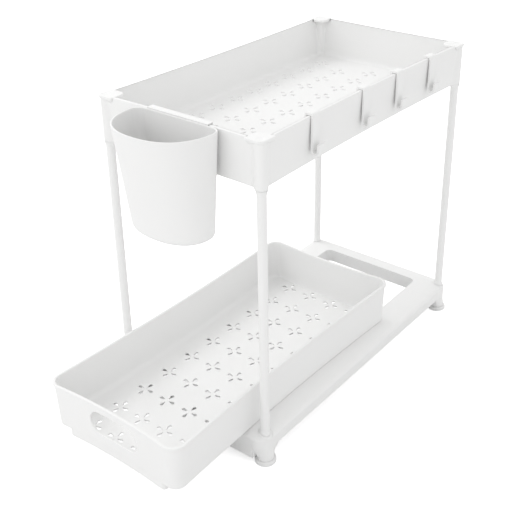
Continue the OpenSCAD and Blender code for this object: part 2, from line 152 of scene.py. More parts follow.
# By the record's slots: colour, roughness and strength of the grain
MATERIALS = {
    "white_plastic": plastic("white_plastic", (0.86, 0.86, 0.855), 0.5, 0.12),
    "post_tube": plastic("post_tube", (0.86, 0.86, 0.855), 0.3, 0.06),
    "foot_plastic": plastic("foot_plastic", (0.83, 0.83, 0.825), 0.5, 0.2),
}

for part in frame["record"]["subparts"]:
    for cad_slot in frame["nodes"][part["node"]].material_slots:
        cad_slot.link = "OBJECT"
        cad_slot.material = MATERIALS[part["material_slot"]]


# Curves and outlines, all in millimetres

def arc(steps, start=0, end=90):
    """Angles in radians from start to end, given in degrees, both included."""
    return [math.radians(start + (end - start) * i / steps) for i in range(steps + 1)]


def circle(centre, r, z, turn):
    """A level ring with a point at each angle of turn."""
    return [(centre[0] + r * math.cos(a), centre[1] + r * math.sin(a), z) for a in turn]


def lower_round(r, steps):
    """(rise, inset) from a flat underside round an edge of radius r to the upright side."""
    return [(r * (1 - math.cos(a)), r * (1 - math.sin(a))) for a in arc(steps)]


def upper_round(r, steps):
    """(rise, inset) from the upright side round an edge of radius r to a flat top."""
    return [(r * math.sin(a), r * (1 - math.cos(a))) for a in arc(steps)]


def smooth_step(share):
    share = min(max(share, 0), 1)
    return share * share * (3 - 2 * share)


def smooth_min(a, b, k):
    """The smaller of two distances, blended where they differ by less than k."""
    h = max(k - abs(a - b), 0) / k
    return min(a, b) - h * h * k / 4


def rounded_corner(x, y, r):
    """Distance outside a corner of radius r, with x and y from the centre of its round."""
    return min(max(x, y), 0) + math.hypot(max(x, 0), max(y, 0)) - r


def stroke(path, thick):
    """The outline of a line of the given thickness."""
    left, right = [], []
    for i, (x, y) in enumerate(path):
        ax, ay = path[max(i - 1, 0)]
        bx, by = path[min(i + 1, len(path) - 1)]
        share = thick / 2 / math.hypot(bx - ax, by - ay)
        nx, ny = (ay - by) * share, (bx - ax) * share
        left.append((x + nx, y + ny))
        right.append((x - nx, y - ny))
    return left + right[::-1]


def from_above(point):
    return point[:2]


def from_the_front(point):
    return point[0], point[2]


# Meshes

CREASE = math.radians(38)                     # steeper edges are shaded sharp
BEVEL_FROM = math.radians(28)                 # steeper edges of an extrusion are rounded


def to_object(name, bm):
    """Turn a bmesh into a clean, smooth-shaded object."""
    bmesh.ops.remove_doubles(bm, verts=bm.verts, dist=2e-6)
    bmesh.ops.dissolve_degenerate(bm, edges=bm.edges, dist=1e-6)
    loose = [v for v in bm.verts if not v.link_faces]
    bmesh.ops.delete(bm, geom=loose, context="VERTS")
    bmesh.ops.recalc_face_normals(bm, faces=bm.faces)
    mesh = bpy.data.meshes.new(name)
    bm.to_mesh(mesh)
    bm.free()
    for poly in mesh.polygons:
        poly.use_smooth = True
    mesh.set_sharp_from_angle(angle=CREASE)
    piece = bpy.data.objects.new(name, mesh)
    scene.collection.objects.link(piece)
    # Large flat faces keep their shading beside narrow rounds.
    piece.modifiers.new("weight", "WEIGHTED_NORMAL").keep_sharp = True
    return piece


class Shell:
    """A closed mesh in the making: points in millimetres, and faces made of point numbers."""

    def __init__(self):
        self.points = []
        self.faces = []

    def ring(self, points):
        start = len(self.points)
        self.points += points
        return list(range(start, start + len(points)))

    def loft(self, rings, skip=None):
        """Join rings of equally many points; skip(level, i) leaves a face out."""
        ids = [self.ring(r) for r in rings]
        n = len(ids[0])
        for level, (a, b) in enumerate(zip(ids, ids[1:])):
            for i in range(n):
                if not (skip and skip(level, i)):
                    j = (i + 1) % n
                    self.faces.append((a[i], a[j], b[j], b[i]))
        return ids

    def fan(self, ids, centre):
        tip = self.ring([centre])[0]
        self.faces += [(a, b, tip) for a, b in zip(ids, ids[1:] + ids[:1])]

    def sheet(self, outer, holes, flat, inner=()):
        """Triangles between an outer loop and the loops of holes, by way of the inner points.

        flat turns a point into the two coordinates in which the sheet is laid out.
        """
        ids, owner, edges = [], [], []
        for k, loop in enumerate([outer] + holes):
            start, n = len(ids), len(loop)
            ids += loop
            owner += [k] * n
            edges += [(start + i, start + (i + 1) % n) for i in range(n)]
        ids += list(inner)
        owner += [0] * len(inner)
        spots = [Vector(flat(self.points[i])) for i in ids]
        _, _, triangles, origin, _, _ = geometry.delaunay_2d_cdt(spots, edges, [], 1, 1e-6)
        for triangle in triangles:
            corners = [origin[v][0] for v in triangle]
            owners = {owner[i] for i in corners}
            # A triangle with all its corners on one hole's loop lies in that hole.
            if len(owners) > 1 or 0 in owners:
                self.faces.append([ids[i] for i in corners])

    def mirror(self, sx, sy):
        self.points = [(sx * x, sy * y, z) for x, y, z in self.points]

    def build(self, name):
        bm = bmesh.new()
        verts = [bm.verts.new((x * MM, y * MM, z * MM)) for x, y, z in self.points]
        for face in self.faces:
            bm.faces.new([verts[i] for i in face])
        return to_object(name, bm)


def extrude_bevelled(name, profile, place, edge):
    """A closed profile pushed from place(u, v, 0) to place(u, v, 1), with its edges rounded."""
    bm = bmesh.new()
    near, far = [[bm.verts.new(Vector(place(u, v, end)) * MM) for u, v in profile]
                 for end in (0, 1)]
    n = len(profile)
    for i in range(n):
        j = (i + 1) % n
        bm.faces.new((near[i], near[j], far[j], far[i]))
    bm.faces.new(near[::-1])
    bm.faces.new(far)
    bmesh.ops.recalc_face_normals(bm, faces=bm.faces)
    bm.normal_update()
    sharp = [e for e in bm.edges if e.calc_face_angle(0) > BEVEL_FROM]
    bmesh.ops.bevel(bm, geom=sharp, offset=edge * MM, segments=3, profile=0.5,
                    affect="EDGES", clamp_overlap=True)
    return to_object(name, bm)


def dress(piece, body, slot, node=None):
    """Give a piece its material and body; node is the CAD node that it stands for."""
    piece.data.materials.append(MATERIALS[slot])
    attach(piece, body)
    if node:
        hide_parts(node)


def nodes_called(start):
    """The CAD nodes whose names begin with start, each with the middle of its box."""
    for node in sorted(frame["nodes"]):
        if node.startswith(start):
            low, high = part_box(node)
            yield node, (low[0] + high[0]) / 2 / MM, (low[1] + high[1]) / 2 / MM


# Perforated floors: crosses of four petals, each round at its far end and narrow at its near one.

PETAL_FAR, PETAL_R = 8.5, 2                   # the round end's centre and radius
PETAL_TIP, PETAL_TIP_SHIFT = 3, 1.4           # the narrow end, and its move as the petal grows
PETAL_BLUNT = ((0.5, 0.35), (0.1, 0.175), (0, 0), (0.1, -0.175), (0.5, -0.35))
CROSS_REACH = PETAL_FAR + PETAL_R
HOLE_EDGE_R = 0.5
HOLE_FLARE, HOLE_FLARE_H = 0.8, 0.9           # holes widen below, to stay open to a slanting look


def petal(cross, quarter, grow, z):
    """A ring at the height z round one petal of a cross, wider by grow."""
    r = PETAL_R + grow
    tip = PETAL_TIP - PETAL_TIP_SHIFT * grow
    outline = [(PETAL_FAR + r * math.cos(a), r * math.sin(a)) for a in arc(10, -90, 90)]
    outline += [(tip + x, y) for x, y in PETAL_BLUNT]
    c, s = math.cos(quarter * math.pi / 2), math.sin(quarter * math.pi / 2)
    return [(cross[0] + x * c - y * s, cross[1] + x * s + y * c, z) for x, y in outline]


def perforate(shell, top_loop, low_loop, top, low, crosses):
    """A floor between two loops, with its holes."""
    top_holes, low_holes = [], []
    for cross in crosses:
        for quarter in range(4):
            rings = [petal(cross, quarter, grow, top - fall)
                     for fall, grow in lower_round(HOLE_EDGE_R, 3)]
            rings.append(petal(cross, quarter, 0, low + HOLE_FLARE_H))
            rings.append(petal(cross, quarter, HOLE_FLARE, low))
            ids = shell.loft(rings)
            top_holes.append(ids[0])
            low_holes.append(ids[-1])
    shell.sheet(top_loop, top_holes, from_above)
    shell.sheet(low_loop, low_holes, from_above)


def whole_crosses(grid, pitch_x, pitch_y, middle_y, half_length):
    """The crosses of a grid that lie wholly within half_length of its middle."""
    places = [(column * pitch_x, row * pitch_y) for column, row in grid]
    return [(x, middle_y + y) for x, y in places if abs(y) + CROSS_REACH <= half_length]


# Top tray: bowed, drafted walls that flow into a round column at each corner.

RIM = 378.0
TRAY_HALF_W, TRAY_HALF_L, TRAY_CORNER_R = 107, 197, 6
TRAY_SIDE_BOW, TRAY_END_BOW = 3.5, 2
TRAY_DRAFT, TRAY_WALL = 0.072, 2.4
TRAY_FLOOR, TRAY_UNDERSIDE = 328.2, 326.0
TRAY_EDGE_R, TRAY_FILLET_R, TRAY_RIM_R = 2, 5.2, 1.1
TRAY_OUTER_LEVELS = (333, 340, 348, 357, 366, 372)
TRAY_INNER_LEVELS = (372, 366, 357, 348, 341, 336)
TRAY_PITCH_X, TRAY_PITCH_Y, TRAY_FIELD = 37.5, 34.7, 183
TRAY_GRID = [(column, row + (0.5 if column % 2 == 0 else 0))
             for column in range(-2, 3) for row in range(-6, 7)]
POST = (102.2, 192.2)                         # the post in the +X +Y corner
COLUMN_R = 6.2
# The walls blend with the column over these lengths: outside at the rim and low down, and inside.
BLEND_AT_RIM, BLEND_LOW, BLEND_INSIDE = 2.5, 7.0, 2.2
# From here outwards a cap covers the corner, and the walls end lower.
CAP_FROM, UNDER_CAP = (87.4, 177.4), 374.9
# (radius, height) of the flare onto a post, whose top stays inside the tray
POST_FLARE = ((4.7, 320.4), (5.0, 320.9), (5.12, 321.7), (5.36, 322.9), (5.7, 324.2),
              (6.05, 325.4), (6.2, 326.8), (4.7, 326.8))
POST_TURN = arc(40, 0, 351)
HALVINGS = 34                                 # of the search for a wall


def wall_field(x, y, z, inset):
    """Distance outside the tray's walls, moved in by inset, at the height z."""
    lean = inset + TRAY_DRAFT * (RIM - z)
    hw, hl, r = TRAY_HALF_W - lean, TRAY_HALF_L - lean, max(TRAY_CORNER_R - inset, 2)
    side = hw - TRAY_SIDE_BOW * (1 - min(y / (hl - r), 1) ** 2)
    end = hl - TRAY_END_BOW * (1 - min(x / (hw - r), 1) ** 2)
    return rounded_corner(x - side + r, y - end + r, r)


def column_field(x, y):
    return math.hypot(x - POST[0], y - POST[1]) - COLUMN_R


def outer_field(x, y, z):
    share = (RIM - z) / (RIM - TRAY_UNDERSIDE)
    blend = BLEND_AT_RIM + (BLEND_LOW - BLEND_AT_RIM) * share
    return smooth_min(wall_field(x, y, z, 0), column_field(x, y), blend)


def inner_field(x, y, z):
    return -smooth_min(-wall_field(x, y, z, TRAY_WALL), column_field(x, y), BLEND_INSIDE)


def tray_edge(field, z, inset, start, way, reach):
    """Where a ray from start leaves the field's shape, moved in by inset.

    The point is searched for between the two distances of reach.
    """
    near, far = reach
    for _ in range(HALVINGS):
        middle = (near + far) / 2
        if field(start[0] + middle * way[0], start[1] + middle * way[1], z) + inset > 0:
            far = middle
        else:
            near = middle
    return start[0] + near * way[0], start[1] + near * way[1], z


def four_ways(quarter):
    """A whole ring from its +X +Y quarter, which runs from the X axis to the Y axis."""
    back = quarter[::-1]
    return (quarter + [(-x, y, z) for x, y, z in back[1:]]
            + [(-x, -y, z) for x, y, z in quarter[1:]] + [(x, -y, z) for x, y, z in back[1:-1]])


def tray_ring(field, z, inset):
    """A ring along the tray's walls, which stays below the caps in the corners."""
    from_x, from_y = CAP_FROM
    low = min(z, UNDER_CAP)
    side = [tray_edge(field, z, inset, (0, from_y * i / 14), (1, 0), (90, 120))
            for i in range(15)]
    corner = [tray_edge(field, low, inset, CAP_FROM, (math.cos(a), math.sin(a)), (8, 40))
              for a in arc(36)]
    end = [tray_edge(field, z, inset, (from_x * (8 - i) / 8, 0), (0, 1), (180, 210))
           for i in range(9)]
    return four_ways(side + corner + end)


def make_tray():
    levels = [(outer_field, TRAY_UNDERSIDE + rise, inset)
              for rise, inset in lower_round(TRAY_EDGE_R, 4)]
    levels += [(outer_field, z, 0) for z in TRAY_OUTER_LEVELS]
    # The rim's outer edge is rounded off, and its inner edge curves in to a narrow lip.
    rim = [(RIM - TRAY_RIM_R + rise, inset) for rise, inset in upper_round(TRAY_RIM_R, 3)]
    levels += [(outer_field, z, inset) for z, inset in rim]
    levels += [(inner_field, z, inset) for z, inset in rim[::-1]]
    levels += [(inner_field, z, 0) for z in TRAY_INNER_LEVELS]
    levels += [(inner_field, TRAY_FLOOR + rise, inset)
               for rise, inset in lower_round(TRAY_FILLET_R, 7)[::-1]]
    shell = Shell()
    ids = shell.loft([tray_ring(*level) for level in levels])
    crosses = whole_crosses(TRAY_GRID, TRAY_PITCH_X, TRAY_PITCH_Y, 0, TRAY_FIELD)
    perforate(shell, ids[-1], ids[0], TRAY_FLOOR, TRAY_UNDERSIDE, crosses)
    for sx in (-1, 1):
        for sy in (-1, 1):
            post = (sx * POST[0], sy * POST[1])
            flare = [circle(post, r, z, POST_TURN) for r, z in POST_FLARE]
            shell.loft(flare + flare[:1])
    return shell.build("tray_shell")


dress(make_tray(), "frame", "white_plastic", "top_tray")


# Corner caps: a plate with soft edges and a shallow finger dimple over each post.

CAP_TO = (109.3, 199.3)
CAP_TOP, CAP_SIDE_LOW, CAP_LOW, CAP_MIDDLE_LOW = 378.05, 375.3, 375.05, 374.95
CAP_MIDDLE = (99, 189)
CAP_EDGE_R, CAP_OUTER_R, CAP_TIP_R, CAP_INNER_R = 0.95, 6.2, 2.2, 8
CAP_LOW_INSET = 0.35
CAP_OVERHANG, CAP_OVERHANG_WIDTH = (105, 195), 2.6
# (inset, fall) of the cove below the overhang
CAP_COVE = ((2.4, 2.6), (2.1, 1.9), (1.4, 0.9), (0.6, 0.25))
# (radius, depth)
DIMPLE = ((4.5, 0), (4.2, 0.06), (3.8, 0.2), (3.2, 0.36), (2.2, 0.5), (1.1, 0.58))
DIMPLE_DEPTH = 0.6
DIMPLE_TURN = arc(35, 0, 350)


def plate_outline(inset):
    """The plate in the +X +Y corner, counter-clockwise from its inner corner."""
    lo_x, lo_y = CAP_FROM[0] + inset, CAP_FROM[1] + inset
    hi_x, hi_y = CAP_TO[0] - inset, CAP_TO[1] - inset
    outer, tip, inner = CAP_OUTER_R - inset, max(CAP_TIP_R - inset, 0.4), CAP_INNER_R - inset
    corners = ((lo_x + inner, lo_y + inner, inner, 180), (hi_x - tip, lo_y + tip, tip, 270),
               (hi_x - outer, hi_y - outer, outer, 0), (lo_x + tip, hi_y - tip, tip, 90))
    return [(x + r * math.cos(a), y + r * math.sin(a))
            for x, y, r, start in corners for a in arc(10, start, start + 90)]


def cove_ring(inset, fall):
    """A ring under the plate, which draws in and falls only below the overhang."""
    ring = []
    for (x, y), (to_x, to_y) in zip(plate_outline(CAP_LOW_INSET), plate_outline(inset)):
        out = max(x - CAP_OVERHANG[0], y - CAP_OVERHANG[1])
        share = smooth_step(out / CAP_OVERHANG_WIDTH)
        ring.append((x + (to_x - x) * share, y + (to_y - y) * share, CAP_LOW - fall * share))
    return ring


def make_cap(name, sx, sy):
    rings = [cove_ring(inset, fall) for inset, fall in CAP_COVE]
    rings.append([(x, y, CAP_SIDE_LOW) for x, y in plate_outline(0)])
    for rise, inset in upper_round(CAP_EDGE_R, 4):
        z = CAP_TOP - CAP_EDGE_R + rise
        rings.append([(x, y, z) for x, y in plate_outline(inset)])
    shell = Shell()
    ids = shell.loft(rings)
    shell.fan(ids[0], (*CAP_MIDDLE, CAP_MIDDLE_LOW))
    dimple = shell.loft([circle(POST, r, CAP_TOP - depth, DIMPLE_TURN) for r, depth in DIMPLE])
    shell.fan(dimple[-1], (*POST, CAP_TOP - DIMPLE_DEPTH))
    shell.sheet(ids[-1], [dimple[0]], from_above)
    shell.mirror(sx, sy)
    return shell.build(name)


for node, x, y in nodes_called("corner_cap"):
    name = node.replace("corner_cap", "cap_plate")
    cap = make_cap(name, math.copysign(1, x), math.copysign(1, y))
    dress(cap, "frame", "white_plastic", node)


# Hanging cup: half round, flat at the back, with a thin rounded rim and a flange over the tray's.

CUP_X, CUP_Y, CUP_Z = 4.0, -195.78, 261.0     # the middle of its back's lower edge
CUP_HALF_W, CUP_DEPTH, CUP_HEIGHT = 56.2, 65, 117
CUP_SIDE_TAPER, CUP_FRONT_TAPER = 8.7, 17     # how much narrower and shallower it is at its foot
CUP_WALL, CUP_EDGE_R, CUP_BACK_R, CUP_RIM_R = 2, 8, 12, 1
CUP_POWER = 2.3                               # 2 would make the front an ellipse
CUP_LEVELS = (20, 40, 60, 80, 100, 112)
CUP_BELOW_RIM = 115.2
FLANGE_SHIFT, FLANGE_WIDTH, FLANGE_WALL, FLANGE_EDGE_R = -2, 80, 1.3, 0.45
FLANGE_REACH, FLANGE_DROP, FLANGE_ROOT = 5.6, 8, 2
RIM_GAP = 0.3


def power(v):
    return math.copysign(abs(v) ** (2 / CUP_POWER), v)


def cup_ring(z, inset):
    """The cup's outline at the height z above its foot: a bulging front and a flat back."""
    share = (CUP_HEIGHT - z) / CUP_HEIGHT
    hw = CUP_HALF_W - CUP_SIDE_TAPER * share - inset
    depth = CUP_DEPTH - CUP_FRONT_TAPER * share - 2 * inset
    r = max(CUP_BACK_R - inset, 3)
    outline = [(hw * power(math.cos(a)), (depth - r) * power(math.sin(a)) - r)
               for a in arc(72, 180, 360)]
    outline += [(hw - r + r * math.cos(a), r * math.sin(a) - r) for a in arc(12)[1:]]
    outline += [((hw - r) * (1 - i / 4), 0) for i in range(1, 8)]
    outline += [(r - hw + r * math.cos(a), r * math.sin(a) - r) for a in arc(12, 90, 180)[:-1]]
    return [(CUP_X + x, CUP_Y + y - inset, CUP_Z + z) for x, y in outline]


def make_cup():
    rim = [(CUP_HEIGHT - CUP_RIM_R + rise, inset) for rise, inset in upper_round(CUP_RIM_R, 4)]
    levels = lower_round(CUP_EDGE_R, 7)
    levels += [(z, 0) for z in CUP_LEVELS + (CUP_BELOW_RIM,)]
    levels += rim
    levels += [(z, CUP_WALL - inset) for z, inset in rim[-2::-1]]
    levels += [(z, CUP_WALL) for z in CUP_LEVELS[::-1]]
    levels += [(CUP_WALL + rise, CUP_WALL + inset)
               for rise, inset in lower_round(CUP_EDGE_R - CUP_WALL, 6)[::-1]]
    shell = Shell()
    ids = shell.loft([cup_ring(*level) for level in levels])
    shell.sheet(ids[0], [], from_above)
    shell.sheet(ids[-1], [], from_above)
    return shell.build("cup_shell")


def make_flange():
    """The strip that goes up from the cup's back, over the tray's rim and down inside it."""
    wall, reach, top = FLANGE_WALL, FLANGE_REACH, RIM_GAP + FLANGE_WALL
    profile = [(-wall, -FLANGE_ROOT), (-wall, top), (reach + wall, top),
               (reach + wall, -FLANGE_DROP), (reach, -FLANGE_DROP), (reach, RIM_GAP),
               (0, RIM_GAP), (0, -FLANGE_ROOT)]

    def place(u, v, end):
        x = CUP_X + FLANGE_SHIFT + (end - 0.5) * FLANGE_WIDTH
        return x, CUP_Y + u, CUP_Z + CUP_HEIGHT + v
    return extrude_bevelled("cup_flange", profile, place, FLANGE_EDGE_R)


dress(make_cup(), "cup", "white_plastic", "hanging_cup")
dress(make_flange(), "cup", "white_plastic", "hanging_cup")


# Hooks: one bent strip each, over the rim of the tray's right wall.

HOOK_PLACES = (-112, -18, 50, 121)
HOOK_THICK, HOOK_WIDTH, HOOK_EDGE_R = 2.5, 12.5, 0.7
HOOK_NOSE_X, HOOK_NOSE_LOW = -7.6, -3.0       # the end inside the tray
HOOK_TURN_R, HOOK_BEND_R = 1.6, 4.9           # over the rim, and at the foot
HOOK_DROP, HOOK_TIP = 41, 7.5                 # to the lowest point, and up from the bend
HOOK_STRAP_LEVELS = (-8, -18, -28)


def hook_profile():
    """Seen from the front: u is out from the tray's wall, v is up from its rim."""
    half = HOOK_THICK / 2
    top_r, low_r = HOOK_TURN_R, HOOK_BEND_R - half
    nose_u, strap_u = HOOK_NOSE_X + half, RIM_GAP + half
    turn_v, bend_v = RIM_GAP + half - top_r, HOOK_BEND_R - HOOK_DROP
    tip_u = strap_u + 2 * low_r
    path = [(nose_u, HOOK_NOSE_LOW), (nose_u, turn_v)]
    path += [(nose_u + top_r * (1 - math.cos(a)), turn_v + top_r * math.sin(a))
             for a in arc(6)[1:]]
    path += [(strap_u - top_r * (1 - math.sin(a)), turn_v + top_r * math.cos(a))
             for a in arc(6)]
    path += [(strap_u, v) for v in HOOK_STRAP_LEVELS]
    path += [(strap_u + low_r * (1 - math.cos(a)), bend_v - low_r * math.sin(a))
             for a in arc(16, 0, 180)]
    path += [(tip_u, bend_v + HOOK_TIP - 0.8), (tip_u, bend_v + HOOK_TIP)]
    return stroke(path, HOOK_THICK)


def make_hook(name, y):
    # The wall is bowed, so the hook keeps clear of where it stands out most along its width.
    share = (abs(y) + HOOK_WIDTH / 2) / (TRAY_HALF_L - TRAY_CORNER_R)
    wall_x = TRAY_HALF_W - TRAY_SIDE_BOW * (1 - share ** 2)

    def place(u, v, end):
        return wall_x + u, y + (end - 0.5) * HOOK_WIDTH, RIM + v
    return extrude_bevelled(name, hook_profile(), place, HOOK_EDGE_R)


for i, y in enumerate(HOOK_PLACES, 1):
    dress(make_hook(f"hook_strip_{i}", y), f"hook_{i}", "white_plastic", f"hook_{i}")


# Drawer: a bowed, drafted box with a thicker band round its top and a handle hole, on two guides.

DRAWER_Y = -121.5
DRAWER_HALF_W, DRAWER_HALF_L, DRAWER_CORNER_R = 92, 196.5, 14
DRAWER_SIDE_BOW, DRAWER_END_BOW = 4.5, 4.0
DRAWER_DRAFT, DRAWER_WALL = 0.04, 2.2
DRAWER_TOP, DRAWER_FLOOR, DRAWER_UNDERSIDE = 94.3, 41.5, 39.3
DRAWER_EDGE_R, DRAWER_RIM_R = 1.2, 1.2
DRAWER_OUTER_LEVELS = (44, 48, 54, 60, 67, 74, 81, 87, 89.6)
DRAWER_INNER_LEVELS = (89.6, 87, 81, 74, 67, 60, 54, 49.5)
BAND_PROUD = 1.5
# (height, inset) where the wall steps out to the band
BAND_STEP = ((90.2, -0.1), (90.7, -0.45), (91.0, -1.0), (91.35, -1.35), (91.8, -BAND_PROUD))
# The floor's fillet is narrow at the ends, where the last holes come close to the wall.
DRAWER_FILLET_H, DRAWER_SIDE_FILLET, DRAWER_END_FILLET = 6, 7, 1.5
DRAWER_PITCH_X, DRAWER_PITCH_Y, DRAWER_FIELD = 33.8, 39, 188.5
DRAWER_GRID = [(column + 0.5, row + 0.5) for column in range(-2, 2) for row in range(-6, 6)]

# A ring goes along the right, back, left and front walls, each followed by a corner, so the
# front wall's points come after three walls and three corners.
SIDE_STEPS, END_STEPS, CORNER_STEPS = 22, 26, 12
FRONT_RUN = 2 * (SIDE_STEPS - 1) + (END_STEPS - 1) + 3 * (CORNER_STEPS + 1)

HANDLE_LENGTH, HANDLE_HEIGHT, HANDLE_Z = 69, 29.5, 68.55
HANDLE_R, HANDLE_REACH = HANDLE_HEIGHT / 2, (HANDLE_LENGTH - HANDLE_HEIGHT) / 2
HANDLE_EDGE_R, HANDLE_MARGIN = 0.9, 2.6
# Round the handle hole the front wall is a sheet of its own, over these columns of the rings
# and, outside and inside, from level to level.
PATCH_COLUMNS = range(FRONT_RUN + 4, FRONT_RUN + 20)
PATCH_LEVELS = (((48, 0), (89.6, 0)), ((87, DRAWER_WALL), (49.5, DRAWER_WALL)))

# The guides run along the drawer's sides, and a lip below the front wall joins them.
GUIDE_X, GUIDE_CORNER_R, GUIDE_THICK, GUIDE_EDGE_R = 69.4, 3, 2.2, 0.5
GUIDE_LOW, GUIDE_TOP = 30.3, 39.9
GUIDE_ALONG = (64.5, 40, 0, -60, -120, -180, -240, -290, -305)
LIP_Z, LIP_INSET = 35, 1.15


def drawer_size(z, side_inset, end_inset):
    """Half width, half length and corner radius of the drawer's outline at the height z."""
    lean = DRAWER_DRAFT * (DRAWER_TOP - z)
    side, end = side_inset + lean, end_inset + lean
    return DRAWER_HALF_W - side, DRAWER_HALF_L - end, max(DRAWER_CORNER_R - side, 2)


def drawer_ring(z, side_inset, end_inset):
    """A ring along the drawer's bowed walls and round its corners."""
    hw, hl, r = drawer_size(z, side_inset, end_inset)
    ring = []
    for quarter in range(4):
        steps, bow = ((SIDE_STEPS, DRAWER_SIDE_BOW), (END_STEPS, DRAWER_END_BOW))[quarter % 2]
        for i in range(1, steps):
            t = 2 * i / steps - 1
            d = bow * (1 - t * t)
            ring.append(((hw - d, t * (hl - r)), (-t * (hw - r), hl - d),
                         (-hw + d, -t * (hl - r)), (t * (hw - r), -hl + d))[quarter])
        x, y = ((hw - r, hl - r), (r - hw, hl - r), (r - hw, r - hl), (hw - r, r - hl))[quarter]
        ring += [(x + r * math.cos(a), y + r * math.sin(a))
                 for a in arc(CORNER_STEPS, 90 * quarter, 90 * quarter + 90)]
    return [(x, DRAWER_Y + y, z) for x, y in ring]


def front_y(x, z, inset):
    """Where the front wall is, moved in by inset."""
    hw, hl, r = drawer_size(z, inset, inset)
    return DRAWER_Y - hl + DRAWER_END_BOW * (1 - (x / (hw - r)) ** 2)


def handle_ring(inset, grow):
    """A ring round the handle hole, wider by grow, on the front wall moved in by inset."""
    r, reach = HANDLE_R + grow, HANDLE_REACH
    outline = [(reach + r * math.cos(a), HANDLE_Z + r * math.sin(a)) for a in arc(14, -90, 90)]
    outline += [(reach - reach * 2 * i / 8, HANDLE_Z + r) for i in range(1, 8)]
    outline += [(-reach + r * math.cos(a), HANDLE_Z + r * math.sin(a)) for a in arc(14, 90, 270)]
    outline += [(-reach + reach * 2 * i / 8, HANDLE_Z - r) for i in range(1, 8)]
    return [(x, front_y(x, z, inset), z) for x, z in outline]


def drawer_levels():
    """(height, inset) up the outside, over the rim and down the inside to the floor's fillet."""
    rim = [(DRAWER_TOP - DRAWER_RIM_R + rise, inset)
           for rise, inset in upper_round(DRAWER_RIM_R, 4)]
    levels = [(DRAWER_UNDERSIDE + rise, inset) for rise, inset in lower_round(DRAWER_EDGE_R, 3)]
    levels += [(z, 0) for z in DRAWER_OUTER_LEVELS]
    levels += BAND_STEP
    levels += [(z, inset - BAND_PROUD) for z, inset in rim]
    levels += [(z, DRAWER_WALL - inset) for z, inset in rim[::-1]]
    return levels + [(z, DRAWER_WALL) for z in DRAWER_INNER_LEVELS]


def make_drawer():
    levels = drawer_levels()
    rings = [drawer_ring(z, inset, inset) for z, inset in levels]
    for rise, inset in lower_round(1, 8)[::-1]:
        rings.append(drawer_ring(DRAWER_FLOOR + DRAWER_FILLET_H * rise,
                                 DRAWER_WALL + DRAWER_SIDE_FILLET * inset,
                                 DRAWER_WALL + DRAWER_END_FILLET * inset))
    patches = [(levels.index(first), levels.index(last)) for first, last in PATCH_LEVELS]

    def skip(level, i):
        return i in PATCH_COLUMNS and any(first <= level < last for first, last in patches)

    shell = Shell()
    ids = shell.loft(rings, skip)
    edge = lower_round(HANDLE_EDGE_R, 4)
    handle = shell.loft([handle_ring(inset, grow) for inset, grow in edge]
                        + [handle_ring(DRAWER_WALL - inset, grow) for inset, grow in edge[::-1]])

    left, right = PATCH_COLUMNS.start, PATCH_COLUMNS.stop
    for (first, last), hole in zip(patches, (handle[0], handle[-1])):
        between = range(first + 1, last)
        loop = ids[first][left:right + 1] + [ids[k][right] for k in between]
        loop += ids[last][left:right + 1][::-1] + [ids[k][left] for k in between[::-1]]
        clear = [(x, y, z) for k in between for x, y, z in rings[k][left + 1:right]
                 if math.hypot(max(abs(x) - HANDLE_REACH, 0), z - HANDLE_Z)
                 > HANDLE_R + HANDLE_MARGIN]
        shell.sheet(loop, [hole], from_the_front, shell.ring(clear))

    crosses = whole_crosses(DRAWER_GRID, DRAWER_PITCH_X, DRAWER_PITCH_Y, DRAWER_Y, DRAWER_FIELD)
    perforate(shell, ids[-1], ids[0], DRAWER_FLOOR, DRAWER_UNDERSIDE, crosses)
    return shell.build("drawer_shell")


def make_drawer_guides():
    """One bent wall below the drawer's floor: a guide, the front lip and the other guide."""
    reach = GUIDE_X - GUIDE_CORNER_R
    across = [reach - 2 * reach * i / 24 for i in range(25)]
    front = [(x, front_y(x, LIP_Z, LIP_INSET)) for x in across]
    corner_y = front[0][1] + GUIDE_CORNER_R
    right = [(GUIDE_X, y) for y in GUIDE_ALONG]
    right += [(reach + GUIDE_CORNER_R * math.cos(a), corner_y - GUIDE_CORNER_R * math.sin(a))
              for a in arc(5)[:-1]]
    left = [(-x, y) for x, y in right[::-1]]

    def place(u, v, end):
        return u, v, GUIDE_LOW + (GUIDE_TOP - GUIDE_LOW) * end
    profile = stroke(right + front + left, GUIDE_THICK)
    return extrude_bevelled("drawer_guides", profile, place, GUIDE_EDGE_R)


dress(make_drawer(), "drawer", "white_plastic", "drawer")
dress(make_drawer_guides(), "drawer", "white_plastic", "drawer")


# Feet: a disc with soft edges, its top sloping up to the leg.

# (radius, height)
FOOT_PROFILE = ((8.0, 0.9), (10.2, 0.9), (10.6, 0.2), (11.0, 0.0), (11.6, 0.15), (11.9, 0.6),
                (12.0, 1.2), (12.0, 3.1), (11.9, 3.7), (11.6, 4.2), (11.1, 4.55), (10.4, 4.75),
                (9.6, 4.9), (9.3, 5.0), (8.0, 5.0))
FOOT_TURN = arc(60, 0, 354)


def make_foot(name, x, y):
    shell = Shell()
    ids = shell.loft([circle((x, y), r, z, FOOT_TURN) for r, z in FOOT_PROFILE])
    shell.fan(ids[0], (x, y, FOOT_PROFILE[0][1]))
    shell.fan(ids[-1], (x, y, FOOT_PROFILE[-1][1]))
    return shell.build(name)


for node, x, y in nodes_called("foot"):
    foot = make_foot(node.replace("foot", "foot_disc"), x, y)
    dress(foot, "frame", "foot_plastic", node)


# Legs: each flares up into the base frame's skirt, and a collar on top closes the post's seat.

BASE_HALF_W, BASE_HALF_L, BASE_CORNER_R = 110.0, 206.0, 15.0
SHOULDER_LOW, SHOULDER_RISE, SHOULDER_WIDTH = 33, 6, 15
